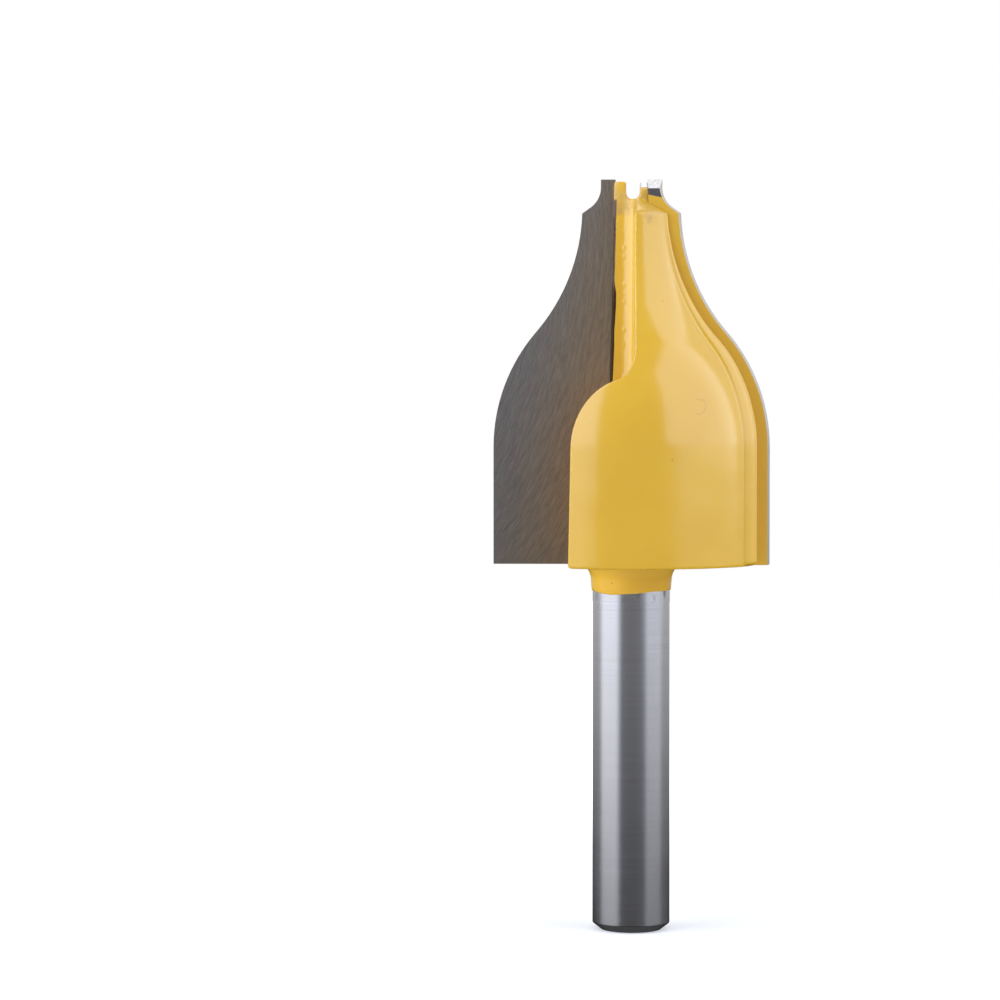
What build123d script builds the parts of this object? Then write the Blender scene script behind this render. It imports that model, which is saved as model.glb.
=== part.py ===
from build123d import *
import os
from math import acos, cos, degrees, radians, sin, tan

# Vertical raised-panel router bit with two carbide tips, standing on the end of its shank.
# All sizes are in millimetres. +Z runs up the spindle axis from the shank's end to the tip.
# The rake faces of both tips lie in the plane y = 0 and look opposite ways.

# Shank and collar
shank_diameter = 8.0
shank_bare_length = 35.0
shank_chamfer_width = 0.9
shank_chamfer_height = 0.7
collar_diameter = 8.4
collar_length = 2.9
collar_flare_radius = 1.7
collar_flare_sweep = 65.0

# Cutting profile, from the foot of the head up to the nose
cutting_diameter = 28.6
straight_height = 12.15
belly_radius = 18.24
hollow_radius = 19.7
neck_diameter = 10.2
neck_lean = 1.8
quirk_depth = 0.87
quirk_rise = 0.62
cove_radius = 2.54
nose_land = 0.81

# Steel body behind the cutting profile, slimmer than the tips so that they stand proud
body_diameter = 25.7
body_belly_radius = 16.79
body_hollow_radius = 23.0
body_neck_diameter = 8.4
foot_edge_radius = 0.3
shoulder_slope = 34.0
shoulder_edge_radius = 0.8
nose_post_diameter = 3.3
nose_post_drop = 0.25
nose_notch_width = 1.4
nose_notch_offset = 0.14
nose_notch_depth = 1.85
nose_notch_radius = 0.55

# Flutes, milled along the axis with a square-shouldered cutter
web_thickness = 1.8
flute_past_axis = 0.4
flute_width = 10.4
gullet_radius = 1.6
lip_corner_radius = 1.8

# Carbide tips, brazed into seats behind the flutes
tip_thickness = 2.0
tip_inner_distance = 1.6
tip_inner_lean = 1.65
tip_side_relief = 9.0
tip_end_relief = 28.0
braze_gap = 0.05

# Room that the cutting volumes leave around the body
overcut = 2.0

# Heights and angles that follow from the sizes above
head_bottom = shank_bare_length + collar_length
cutting_radius = cutting_diameter / 2
rim_reach = cutting_radius + overcut
half_web = web_thickness / 2
flare_height = collar_flare_radius * sin(radians(collar_flare_sweep))

# Plane of the left tip's rake face: local X runs outwards along -X, local Y runs up
rake_plane = Plane(origin=(0, 0, 0), x_dir=(-1, 0, 0), z_dir=(0, 1, 0))


def draw_ogee(straight_radius, belly, hollow, neck_radius, foot_height):
    """Draw a straight, a belly and a hollow in the open line builder; return the hollow."""
    centres_apart = neck_radius + hollow - straight_radius + belly
    sweep = degrees(acos(centres_apart / (belly + hollow)))
    riser = Line((straight_radius, foot_height), (straight_radius, head_bottom + straight_height))
    belly_arc = JernArc(start=riser @ 1, tangent=(0, 1), radius=belly, arc_size=sweep)
    return JernArc(
        start=belly_arc @ 1, tangent=belly_arc % 1, radius=hollow, arc_size=neck_lean - sweep
    )


# Blank of one tip: the whole cutting profile, relieved behind its edge
with BuildPart() as tip_blank:
    with BuildSketch(rake_plane) as cutting_profile:
        with BuildLine() as cutting_outline:
            hollow = draw_ogee(
                cutting_radius, belly_radius, hollow_radius, neck_diameter / 2, head_bottom - overcut
            )
            quirk = Line(hollow @ 1, hollow @ 1 + Vector(-quirk_depth, quirk_rise))
            cove_sweep = 90 - (Vector(-1, 0).get_angle(quirk % 1))
            cove = JernArc(
                start=quirk @ 1, tangent=quirk % 1, radius=cove_radius, arc_size=-cove_sweep
            )
            nose = Line(cove @ 1, cove @ 1 + Vector(0, nose_land))
            tip_height = (nose @ 1).Y
            Polyline(
                nose @ 1,
                (0, tip_height),
                (0, head_bottom - overcut),
                (cutting_radius, head_bottom - overcut),
            )
        make_face()
    extrude(amount=tip_thickness, taper=tip_side_relief)

# Plane of the tips' inner edges, leaning away from the axis towards the shank
inner_lean_plane = Plane(
    origin=(-tip_inner_distance, 0, tip_height),
    x_dir=(0, 1, 0),
    z_dir=(-cos(radians(tip_inner_lean)), 0, sin(radians(tip_inner_lean))),
)
# Plane ground across the end of a tip, falling away behind the rake face
end_relief_plane = Plane(
    origin=(0, 0, tip_height),
    x_dir=(1, 0, 0),
    z_dir=(0, sin(radians(tip_end_relief)), cos(radians(tip_end_relief))),
)

with BuildPart() as carbide_tip_left:
    add(tip_blank.part)
    split(bisect_by=Plane.XY.offset(head_bottom), keep=Keep.TOP)
    split(bisect_by=inner_lean_plane.offset(braze_gap), keep=Keep.TOP)
    split(bisect_by=end_relief_plane, keep=Keep.BOTTOM)
carbide_tip_left.part.label = "carbide_tip_left"

with BuildPart() as carbide_tip_right:
    with Locations(Rotation(0, 0, 180)):
        add(carbide_tip_left.part)
carbide_tip_right.part.label = "carbide_tip_right"

# Volume removed for one flute, the tip's seat behind it and the relief across the nose
cut_height = tip_height + overcut - head_bottom
with BuildPart() as flute_cut:
    with BuildSketch(Plane.XY.offset(head_bottom)) as flute_section:
        with BuildLine() as flute_outline:
            walls = FilletPolyline(
                (-rim_reach, -half_web),
                (flute_past_axis, -half_web),
                (flute_past_axis, -half_web - flute_width),
                (-rim_reach, -half_web - flute_width),
                radius=[gullet_radius, lip_corner_radius],
            )
            Line(walls @ 1, walls @ 0)
        make_face()
    extrude(amount=cut_height)
    with BuildSketch(rake_plane.offset(-half_web - overcut)) as seat_outline:
        lean_shift = tan(radians(tip_inner_lean))
        with BuildLine():
            Polyline(
                (tip_inner_distance - overcut * lean_shift, tip_height + overcut),
                (rim_reach, tip_height + overcut),
                (rim_reach, head_bottom),
                (tip_inner_distance + (tip_height - head_bottom) * lean_shift, head_bottom),
                close=True,
            )
        make_face()
    extrude(amount=overcut + half_web + tip_thickness)
    with BuildSketch(Plane.YZ) as nose_relief:
        relief_start = tip_height - nose_post_drop
        with BuildLine():
            Polyline(
                (0, relief_start),
                (rim_reach, relief_start - rim_reach * tan(radians(tip_end_relief))),
                (rim_reach, tip_height + overcut),
                (0, tip_height + overcut),
                close=True,
            )
        make_face()
    extrude(amount=-nose_post_diameter)

with BuildPart() as cutter_body:
    with BuildSketch(Plane.XZ) as turned_profile:
        with BuildLine() as turned_outline:
            shank_side = Polyline(
                (0, 0),
                (shank_diameter / 2 - shank_chamfer_width, 0),
                (shank_diameter / 2, shank_chamfer_height),
                (shank_diameter / 2, shank_bare_length),
                (collar_diameter / 2, shank_bare_length),
                (collar_diameter / 2, head_bottom - flare_height),
            )
            flare = JernArc(
                start=shank_side @ 1,
                tangent=(0, 1),
                radius=collar_flare_radius,
                arc_size=-collar_flare_sweep,
            )
            Line(flare @ 1, (body_diameter / 2, head_bottom))
            body_hollow = draw_ogee(
                body_diameter / 2,
                body_belly_radius,
                body_hollow_radius,
                body_neck_diameter / 2,
                head_bottom,
            )
            post_radius = nose_post_diameter / 2
            slope_run = (body_hollow @ 1).X - post_radius
            post_foot = (body_hollow @ 1).Y + slope_run * tan(radians(shoulder_slope))
            Polyline(
                body_hollow @ 1,
                (post_radius, post_foot),
                (post_radius, tip_height - nose_post_drop),
                (0, tip_height - nose_post_drop),
                (0, 0),
            )
        make_face()
        foot_corner = turned_profile.vertices().sort_by(Axis.X)[-2:].sort_by(Axis.Z)[0]
        fillet(foot_corner, foot_edge_radius)
        shoulder_corner = turned_profile.vertices().sort_by_distance(
            Vector((body_hollow @ 1).X, 0, (body_hollow @ 1).Y)
        )[0]
        fillet(shoulder_corner, shoulder_edge_radius)
    revolve(axis=Axis.Z)
    with PolarLocations(0, 2):
        add(flute_cut.part, mode=Mode.SUBTRACT)
    with BuildSketch(Plane.XZ) as nose_notch:
        with Locations((nose_notch_offset, tip_height + overcut)):
            Rectangle(
                nose_notch_width,
                nose_notch_depth + nose_post_drop + overcut,
                align=(Align.CENTER, Align.MAX),
            )
        fillet(nose_notch.vertices().group_by(Axis.Z)[0], nose_notch_radius)
    extrude(amount=nose_post_diameter, both=True, mode=Mode.SUBTRACT)
cutter_body.part.label = "cutter_body"

os.makedirs("parts", exist_ok=True)
export_step(cutter_body.part, "parts/cutter_body.step")
export_step(carbide_tip_left.part, "parts/carbide_tip_left.step")
export_step(carbide_tip_right.part, "parts/carbide_tip_right.step")
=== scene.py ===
"""Dressed model of a vertical raised-panel router bit, standing on the end of its shank.

The steel body is shown as two pieces, the painted head and the bare ground shank. The two carbide tips keep
their own solids and get a ground finish, with paint on the back of each overhang. Lengths are in metres.
"""
import logging
import math
from dataclasses import dataclass, field
from enum import Enum
from functools import reduce
from typing import Callable, Iterable, Sequence

import bmesh
import bpy
from mathutils import Matrix, Vector, noise


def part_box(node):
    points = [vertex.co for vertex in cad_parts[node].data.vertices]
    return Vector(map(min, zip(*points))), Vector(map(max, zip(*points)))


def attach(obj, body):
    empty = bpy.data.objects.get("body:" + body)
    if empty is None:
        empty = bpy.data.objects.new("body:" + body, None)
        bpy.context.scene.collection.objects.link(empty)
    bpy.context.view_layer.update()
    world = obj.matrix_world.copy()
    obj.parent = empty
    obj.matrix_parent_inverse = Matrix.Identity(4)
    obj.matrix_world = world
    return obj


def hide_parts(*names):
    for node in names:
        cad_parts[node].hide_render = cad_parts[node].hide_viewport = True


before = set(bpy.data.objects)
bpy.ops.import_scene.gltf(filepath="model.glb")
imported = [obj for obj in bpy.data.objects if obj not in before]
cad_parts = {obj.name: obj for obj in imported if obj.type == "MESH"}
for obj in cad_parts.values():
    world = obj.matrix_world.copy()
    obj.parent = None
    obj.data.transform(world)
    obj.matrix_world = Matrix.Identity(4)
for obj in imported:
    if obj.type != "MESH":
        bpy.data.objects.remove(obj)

MM = 0.001
TOUCHING = 0.001 * MM
LOG = logging.getLogger("router_bit")
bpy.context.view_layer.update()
Colour = tuple[float, float, float, float]


class Side(Enum):
    """The two flutes, named as the camera sees their tips, with the turn that takes the left one there."""

    LEFT = 0.0
    RIGHT = math.pi


class RecordSlot(Enum):
    """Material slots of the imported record."""

    PAINT = "painted_steel"
    CARBIDE = "ground_carbide"


# Sizes of the turned and milled steel, in metres


@dataclass(frozen=True)
class Ogee:
    """The flank of the steel body, a belly arc and a hollow arc that meet in a tangent.

    Attributes:
        outer: Radius of the straight part of the flank.
        foot: Height of the foot of the head above the shank's end.
        straight: Height of the straight part.
        belly: Radius of the convex arc.
        hollow: Radius of the concave arc.
        neck: Radius of the body at the neck.
        neck_lean: Angle at which the hollow stops short of upright.
    """

    outer: float = 12.85 * MM
    foot: float = 37.9 * MM
    straight: float = 12.15 * MM
    belly: float = 16.79 * MM
    hollow: float = 23.0 * MM
    neck: float = 4.2 * MM
    neck_lean: float = math.radians(1.8)

    @property
    def sweep(self) -> float:
        """Angle that the belly turns through before the hollow takes over."""
        apart = self.neck + self.hollow - self.outer + self.belly
        return math.acos(apart / (self.belly + self.hollow))

    def flank(self, steps: int) -> list[tuple[float, float]]:
        """Points of the flank, from the foot up to the neck.

        Args:
            steps: Number of points on each arc.

        Returns:
            Radius and height of each point.
        """
        top_of_straight = self.foot + self.straight
        hollow_height = top_of_straight + (self.belly + self.hollow) * math.sin(self.sweep)
        points = [(self.outer, self.foot)]
        for index in range(steps):
            angle = self.sweep * index / steps
            radius = self.outer - self.belly * (1.0 - math.cos(angle))
            points.append((radius, top_of_straight + self.belly * math.sin(angle)))
        for index in range(steps + 1):
            angle = self.sweep + (self.neck_lean - self.sweep) * index / steps
            radius = self.neck + self.hollow * (1.0 - math.cos(angle))
            points.append((radius, hollow_height - self.hollow * math.sin(angle)))
        return points


@dataclass(frozen=True)
class BodySizes:
    """Sizes of the steel body and of the tips that it carries, which the pieces and finishes are built to."""

    shank_radius: float = 4.0 * MM
    chamfer_width: float = 0.9 * MM
    chamfer_height: float = 0.7 * MM
    collar_radius: float = 4.2 * MM
    collar_foot: float = 35.0 * MM
    flare_radius: float = 1.7 * MM
    flare_sweep: float = math.radians(65.0)
    shoulder_slope: float = math.radians(34.0)
    shoulder_round: float = 0.8 * MM
    post_radius: float = 1.65 * MM
    post_drop: float = 0.25 * MM
    notch_width: float = 1.4 * MM
    notch_shift: float = 0.14 * MM
    notch_depth: float = 1.85 * MM
    notch_round: float = 0.55 * MM
    half_web: float = 0.9 * MM
    past_axis: float = 0.4 * MM
    flute_width: float = 10.4 * MM
    gullet_round: float = 1.6 * MM
    lip_round: float = 1.8 * MM
    lip_lean: float = math.radians(0.7)
    tip_thickness: float = 2.0 * MM
    tip_inner: float = 1.6 * MM
    tip_lean: float = math.radians(1.65)
    end_relief: float = math.radians(28.0)


# Small modelling helpers


def same(first: float, second: float) -> bool:
    """Tell whether two lengths are the same."""
    return abs(first - second) < TOUCHING


def deselect_all() -> None:
    """Leave edit mode and deselect every object."""
    if bpy.context.object is not None and bpy.context.object.mode != "OBJECT":
        bpy.ops.object.mode_set(mode="OBJECT")
    bpy.ops.object.select_all(action="DESELECT")


def make_active(piece: bpy.types.Object) -> None:
    """Select one object alone and make it active.

    Args:
        piece: The object to work on.
    """
    deselect_all()
    piece.select_set(True)
    bpy.context.view_layer.objects.active = piece


def apply_modifier(piece: bpy.types.Object, kind: str, **settings: object) -> None:
    """Add a modifier, set it and apply it.

    Args:
        piece: The object that gets the modifier.
        kind: The modifier's type name.
        **settings: Values of the modifier's properties.
    """
    make_active(piece)
    modifier = piece.modifiers.new(kind.title(), kind)
    for name, value in settings.items():
        setattr(modifier, name, value)
    bpy.ops.object.modifier_apply(modifier=modifier.name)


def chain(name: str, points: Sequence[Sequence[float]]) -> bpy.types.Object:
    """Lay a chain of edges through points, and stay in edit mode.

    Args:
        name: Name of the new object.
        points: The chain's points.

    Returns:
        The chain.
    """
    deselect_all()
    bpy.ops.mesh.primitive_plane_add(size=MM, location=(0.0, 0.0, 0.0))
    line = bpy.context.object
    line.name = name
    bpy.ops.object.mode_set(mode="EDIT")
    bpy.ops.mesh.select_mode(type="VERT")
    bpy.ops.mesh.select_all(action="SELECT")
    bpy.ops.mesh.merge(type="CENTER")
    bpy.ops.transform.translate(value=points[0])
    for start, end in zip(points, points[1:]):
        step = Vector(end) - Vector(start)
        bpy.ops.mesh.extrude_region_move(TRANSFORM_OT_translate={"value": step})
    bpy.ops.mesh.select_all(action="SELECT")
    return line


def spin_profile(name: str, profile: Sequence[tuple[float, float]], steps: int) -> bpy.types.Object:
    """Turn a closed solid on the spindle axis from a profile that starts and ends on the axis.

    Args:
        name: Name of the new object.
        profile: Radius and height of each point, from the foot up.
        steps: Number of facets round the axis.

    Returns:
        The turned solid, with its origin at the world's origin.
    """
    solid = chain(name, [(radius, 0.0, height) for radius, height in profile])
    bpy.ops.mesh.spin(steps=steps, angle=2.0 * math.pi, center=(0.0, 0.0, 0.0), axis=(0.0, 0.0, 1.0))
    bpy.ops.mesh.select_all(action="SELECT")
    bpy.ops.mesh.remove_doubles(threshold=TOUCHING)
    bpy.ops.mesh.normals_make_consistent(inside=False)
    bpy.ops.object.mode_set(mode="OBJECT")
    return solid


def rod(name: str, points: Sequence[Sequence[float]], radii: Sequence[float]) -> bpy.types.Object:
    """Add a round rod along a line of points.

    Args:
        name: Name of the new object.
        points: Points of the rod's middle line.
        radii: Radius of the rod at each point.

    Returns:
        The rod.
    """
    line = chain(name, points)
    bpy.ops.object.mode_set(mode="OBJECT")
    bpy.ops.object.convert(target="CURVE")
    line = bpy.context.object
    line.data.bevel_depth = 1.0
    line.data.bevel_resolution = 8
    line.data.use_fill_caps = True
    for point in line.data.splines[0].points:
        nearest = min(range(len(points)), key=lambda index: (Vector(points[index]) - point.co.to_3d()).length)
        point.radius = radii[nearest]
    bpy.ops.object.convert(target="MESH")
    return bpy.context.object


def block(name: str, low: Sequence[float], high: Sequence[float]) -> bpy.types.Object:
    """Add a box between two corners, with its place in its mesh.

    Args:
        name: Name of the new object.
        low: Lowest corner.
        high: Highest corner.

    Returns:
        The box.
    """
    deselect_all()
    centre = (Vector(low) + Vector(high)) / 2.0
    bpy.ops.mesh.primitive_cube_add(size=1.0, location=centre, scale=Vector(high) - Vector(low))
    box = bpy.context.object
    box.name = name
    bpy.ops.object.transform_apply(location=True, rotation=True, scale=True)
    return box


def select_edges(piece: bpy.types.Object, chosen: Callable[[Vector, Vector], bool]) -> None:
    """Select the edges of a mesh that a test picks, in edit mode.

    Args:
        piece: The object in edit mode.
        chosen: Test on the two ends of an edge.
    """
    bpy.ops.mesh.select_mode(type="EDGE")
    bpy.ops.mesh.select_all(action="DESELECT")
    mesh = bmesh.from_edit_mesh(piece.data)
    for edge in mesh.edges:
        edge.select = chosen(edge.verts[0].co, edge.verts[1].co)
    mesh.select_flush(True)
    bmesh.update_edit_mesh(piece.data)


def turn_copy(piece: bpy.types.Object, angle: float) -> bpy.types.Object:
    """Copy an object and turn the copy about the spindle axis.

    Args:
        piece: The object to copy.
        angle: Angle of the turn.

    Returns:
        The copy, with its own mesh and its origin unmoved.
    """
    make_active(piece)
    bpy.ops.object.duplicate()
    copy = bpy.context.object
    copy.data.transform(Matrix.Rotation(angle, 4, "Z"))
    return copy


def combine(piece: bpy.types.Object, tool: bpy.types.Object, operation: str = "DIFFERENCE") -> None:
    """Cut one solid with another, or join the other to it, and remove the other.

    Args:
        piece: The solid that is changed.
        tool: The solid that cuts it or is joined to it.
        operation: Name of the Boolean operation.
    """
    apply_modifier(piece, "BOOLEAN", operation=operation, solver="EXACT", object=tool)
    bpy.data.objects.remove(tool)


# Shader helpers


@dataclass
class NodeBuilder:
    """Adds nodes to a shader tree and links them.

    A value is an output socket, a number, a vector or a colour.

    Attributes:
        tree: The node tree that is built.
    """

    tree: bpy.types.NodeTree

    def add(self, kind: str, **settings: object) -> bpy.types.Node:
        """Add a node.

        Args:
            kind: The node's type name.
            **settings: Values of the node's properties.

        Returns:
            The new node.
        """
        node = self.tree.nodes.new(kind)
        for name, value in settings.items():
            setattr(node, name, value)
        return node

    def put(self, node: bpy.types.Node, socket: object, value: object) -> None:
        """Link a socket to an input, or set the input to a plain value.

        Args:
            node: The node with the input.
            socket: Name or number of the input.
            value: The value.
        """
        target = node.inputs[socket]
        if isinstance(value, bpy.types.NodeSocket):
            self.tree.links.new(value, target)
        else:
            target.default_value = value

    def wired(self, kind: str, output: object, values: dict[object, object], **settings: object) -> object:
        """Add a node and fill its inputs.

        Args:
            kind: The node's type name.
            output: Name or number of the output that is wanted.
            values: Value of each input, by its name or number.
            **settings: Values of the node's properties.

        Returns:
            The output.
        """
        node = self.add(kind, **settings)
        for socket, value in values.items():
            self.put(node, socket, value)
        return node.outputs[output]

    def math(self, operation: str, *values: object) -> object:
        """Give a Math node's result for its inputs in order."""
        return self.wired("ShaderNodeMath", 0, dict(enumerate(values)), operation=operation)

    def plus(self, first: object, second: object) -> object:
        """Add two values."""
        return self.math("ADD", first, second)

    def minus(self, first: object, second: object) -> object:
        """Take the second value from the first."""
        return self.math("SUBTRACT", first, second)

    def times(self, *factors: object) -> object:
        """Multiply any number of values."""
        return reduce(lambda first, second: self.math("MULTIPLY", first, second), factors)

    def line(self, value: object, slope: object, start: object) -> object:
        """Multiply a value by a slope and add a start."""
        return self.math("MULTIPLY_ADD", value, slope, start)

    def either(self, first: object, second: object) -> object:
        """Take the larger of two values, which joins two masks."""
        return self.math("MAXIMUM", first, second)

    def above(self, value: object, limit: object) -> object:
        """Mask where a value is above a limit."""
        return self.math("GREATER_THAN", value, limit)

    def below(self, value: object, limit: object) -> object:
        """Mask where a value is below a limit."""
        return self.math("LESS_THAN", value, limit)

    def ramp(self, value: object, low: float, high: float, start: float = 0.0, end: float = 1.0) -> object:
        """Map a value from low..high to start..end with a smooth step."""
        values = {"Value": value, "From Min": low, "From Max": high, "To Min": start, "To Max": end}
        return self.wired("ShaderNodeMapRange", "Result", values, interpolation_type="SMOOTHSTEP")

    def mix(self, share: object, first: object, second: object) -> object:
        """Mix two colours by the share of the second."""
        return self.wired("ShaderNodeMix", 2, {0: share, 6: first, 7: second}, data_type="RGBA")

    def noise(self, vector: object, scale: float, detail: float = 2.0, roughness: float = 0.5) -> object:
        """Read a noise by its cells in a metre, its number of finer layers and their strength."""
        values = {"Vector": vector, "Scale": scale, "Detail": detail, "Roughness": roughness}
        return self.wired("ShaderNodeTexNoise", "Fac", values)

    def mapped(self, vector: object, turn: Sequence[float], scale: Sequence[float]) -> object:
        """Turn coordinates about the three axes and stretch them along these."""
        values = {"Vector": vector, "Rotation": turn, "Scale": scale}
        return self.wired("ShaderNodeMapping", "Vector", values)

    def turned(self, vector: object, side: Side) -> object:
        """Turn coordinates about the spindle axis, so that either flute reads as the left one."""
        return self.mapped(vector, (0.0, 0.0, side.value), (1.0, 1.0, 1.0))

    def split(self, vector: object) -> tuple[object, ...]:
        """Split a vector into its X, Y and Z."""
        return tuple(self.wired("ShaderNodeSeparateXYZ", 0, {0: vector}).node.outputs)

    def vector(self, *parts: object) -> object:
        """Join X, Y and Z to a vector."""
        return self.wired("ShaderNodeCombineXYZ", 0, dict(enumerate(parts)))

    def length(self, vector: object) -> object:
        """Measure the length of a vector."""
        return self.wired("ShaderNodeVectorMath", "Value", {0: vector}, operation="LENGTH")

    def bump(self, height: object, strength: float, distance: float) -> object:
        """Tilt the normal by a share of a height, of which 1 stands for the distance."""
        values = {"Strength": strength, "Distance": distance, "Height": height}
        return self.wired("ShaderNodeBump", "Normal", values)


def new_material(name: str) -> tuple[bpy.types.Material, NodeBuilder, bpy.types.Node]:
    """Make a material with one Principled shader.

    Args:
        name: Name of the material.

    Returns:
        The material, a builder on its tree and its shader node.
    """
    material = bpy.data.materials.new(name)
    material.use_nodes = True
    material.node_tree.nodes.clear()
    build = NodeBuilder(material.node_tree)
    shader = build.add("ShaderNodeBsdfPrincipled")
    output = build.add("ShaderNodeOutputMaterial")
    build.put(output, "Surface", shader.outputs["BSDF"])
    return material, build, shader


def new_group(
    name: str, inputs: Iterable[tuple[str, str]], outputs: Iterable[tuple[str, str]]
) -> NodeBuilder:
    """Make an empty shader node group with named sockets.

    Args:
        name: Name of the group.
        inputs: Name and socket type of each input.
        outputs: Name and socket type of each output.

    Returns:
        A builder on the group's tree.
    """
    tree = bpy.data.node_groups.new(name, "ShaderNodeTree")
    for label, kind in inputs:
        tree.interface.new_socket(name=label, in_out="INPUT", socket_type=kind)
    for label, kind in outputs:
        tree.interface.new_socket(name=label, in_out="OUTPUT", socket_type=kind)
    return NodeBuilder(tree)


# Finishes


@dataclass(frozen=True)
class PaintTone:
    """Colour and surface of the yellow paint, shared by the head and the backs of the tips.

    Attributes:
        body: Colour of the film at its usual thickness.
        deep: Colour where the film is thick.
        speck: Colour of the few specks caught in the film.
        gloss: Specular level of the film.
        smooth: Roughness of the film, from its smoothest to its roughest.
    """

    body: Colour = (0.66, 0.385, 0.026, 1.0)
    deep: Colour = (0.62, 0.345, 0.020, 1.0)
    speck: Colour = (0.30, 0.15, 0.02, 1.0)
    gloss: float = 0.85
    smooth: tuple[float, float] = (0.16, 0.21)

    def group(self) -> bpy.types.NodeTree:
        """Build the group of the film's colour, height and roughness, or return it where it exists.

        Returns:
            The group.
        """
        name = "paint_film"
        if name in bpy.data.node_groups:
            return bpy.data.node_groups[name]
        build = new_group(
            name,
            [("Vector", "NodeSocketVector")],
            [("Color", "NodeSocketColor"), ("Height", "NodeSocketFloat"), ("Roughness", "NodeSocketFloat")],
        )
        given = build.add("NodeGroupInput").outputs["Vector"]
        result = build.add("NodeGroupOutput")
        cloud = build.noise(given, 130.0, 3.0)
        tone = build.mix(build.ramp(cloud, 0.45, 0.75, 0.0, 0.55), self.body, self.deep)
        dots = build.noise(given, 1400.0, 1.0)
        rare = build.noise(given, 210.0, 0.0)
        speck = build.times(build.ramp(dots, 0.78, 0.84), build.ramp(rare, 0.56, 0.62), 0.6)
        build.put(result, "Color", build.mix(speck, tone, self.speck))
        peel = build.noise(given, 900.0, 2.0)
        build.put(result, "Height", build.plus(build.times(cloud, 0.6), build.times(peel, 0.25)))
        build.put(result, "Roughness", build.ramp(peel, 0.3, 0.8, *self.smooth))
        return build.tree


@dataclass(frozen=True)
class GroundSteel:
    """Bare ground steel of the shank, with fine rings left by the grinding wheel.

    Attributes:
        bright: Colour of the clean steel.
        dull: Colour in the grooves of the grinding marks.
        smear: Colour of the flux smears below the paint's hem.
        smear_heights: Heights between which the smears set in.
        smear_front: Places across the front between which the smears grow to their full strength.
        smear_turn: Slant of the smears.
        roughness: Middle roughness.
        change: Change of the roughness to either side.
    """

    bright: Colour = (0.66, 0.66, 0.70, 1.0)
    dull: Colour = (0.56, 0.56, 0.59, 1.0)
    smear: Colour = (0.22, 0.20, 0.20, 1.0)
    smear_heights: tuple[float, float] = (33.9 * MM, 34.7 * MM)
    smear_front: tuple[float, float] = (0.3 * MM, 1.6 * MM)
    smear_turn: float = math.radians(38.0)
    roughness: float = 0.225
    change: float = 0.01

    def material(self) -> bpy.types.Material:
        """Build the material.

        Returns:
            The material.
        """
        material, build, shader = new_material("ground_shank_steel")
        place = build.add("ShaderNodeTexCoord").outputs["Object"]
        x, _, z = build.split(place)
        rings = build.noise(build.mapped(place, (0.0, 0.0, 0.0), (0.02, 0.02, 1.0)), 5200.0, 3.0, 0.6)
        metal = build.mix(build.ramp(rings, 0.35, 0.75, 0.0, 0.4), self.bright, self.dull)
        along = build.mapped(place, (0.0, self.smear_turn, 0.0), (1.0, 0.4, 0.25))
        strokes = build.ramp(build.noise(along, 1700.0, 2.0), 0.48, 0.68)
        aside = build.ramp(x, *self.smear_front, 0.25, 1.0)
        smears = build.times(strokes, build.ramp(z, *self.smear_heights), aside, 0.8)
        cloud = build.noise(place, 260.0, 3.0)
        rough = build.ramp(cloud, 0.3, 0.7, self.roughness - self.change, self.roughness + self.change)
        shader.inputs["Metallic"].default_value = 1.0
        build.put(shader, "Base Color", build.mix(smears, metal, self.smear))
        build.put(shader, "Roughness", rough)
        return material


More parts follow.
